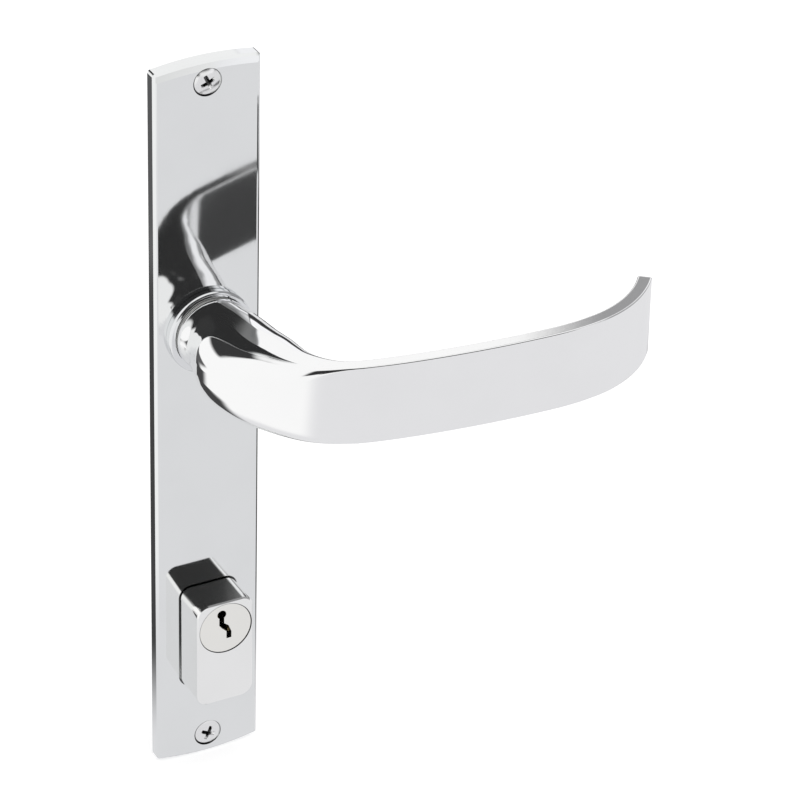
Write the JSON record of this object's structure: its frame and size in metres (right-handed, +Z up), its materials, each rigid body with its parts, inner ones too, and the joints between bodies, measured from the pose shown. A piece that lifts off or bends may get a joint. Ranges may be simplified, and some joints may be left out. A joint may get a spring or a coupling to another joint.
{
  "type": "gate lock handle with profile cylinder",
  "caption": "Chromed outside trim for a narrow gate lock: long bevelled plate, sprung lever handle on a round collar and a keyed profile cylinder below it.",
  "frame": {"origin": "where the lever's axis meets the plane of the plate's back", "axes": "+Z up along the plate, +Y out of the plate's back along the lever's axis, +X the way the lever points"},
  "size_m": [0.1304, 0.0813, 0.2199],
  "materials": {
    "chromed_plate": "satin mirror chrome with a bevelled edge",
    "chromed_lever": "polished chrome",
    "chromed_ring": "polished chrome",
    "screw_steel": "chromed steel",
    "satin_nickel": "satin nickel",
    "plug_nickel": "satin nickel, slightly warmer",
    "bush_nylon": "black nylon",
    "housing_zinc": "bare zinc casting",
    "stop_steel": "zinc plated steel",
    "spring_steel": "hardened spring steel",
    "spindle_steel": "zinc plated steel bar",
    "black_steel": "black oxide",
    "brass_pins": "turned brass",
    "pin_steel": "turned steel"
  },
  "bodies": {
    "trim": {"backplate": "chromed_plate", "fixing_screws": "screw_steel", "collar_ring": "chromed_ring", "bearing_bush": "bush_nylon", "spring_housing": "housing_zinc", "housing_cover": "stop_steel", "cylinder_body": "satin_nickel", "chamber_caps": "brass_pins", "driver_pin_1": "pin_steel", "driver_pin_2": "pin_steel", "driver_pin_3": "pin_steel", "driver_pin_4": "pin_steel", "driver_pin_5": "pin_steel", "pin_spring_1": "spring_steel", "pin_spring_2": "spring_steel", "pin_spring_3": "spring_steel", "pin_spring_4": "spring_steel", "pin_spring_5": "spring_steel"},
    "lever": {"lever_handle": "chromed_lever", "square_spindle": "spindle_steel", "spindle_grub_screw": "black_steel", "stop_disc": "stop_steel", "hub_circlip": "spring_steel", "return_spring": "spring_steel"},
    "plug": {"cylinder_plug": "plug_nickel", "cylinder_cam": "stop_steel", "plug_clip": "spring_steel", "key_pin_1": "brass_pins", "key_pin_2": "brass_pins", "key_pin_3": "brass_pins", "key_pin_4": "brass_pins", "key_pin_5": "brass_pins"}
  },
  "joints": [
    {"name": "lever_turn", "type": "hinge", "parent": "trim", "child": "lever", "pos_m": [0, 0, 0], "axis": [0, 1, 0], "range_deg": [0, 45], "stiffness_Nm_per_rad": 0.6, "springref_deg": -34.38},
    {"name": "plug_turn", "type": "hinge", "parent": "trim", "child": "plug", "pos_m": [0, 0, -0.09], "axis": [0, 1, 0], "continuous": true}
  ]
}
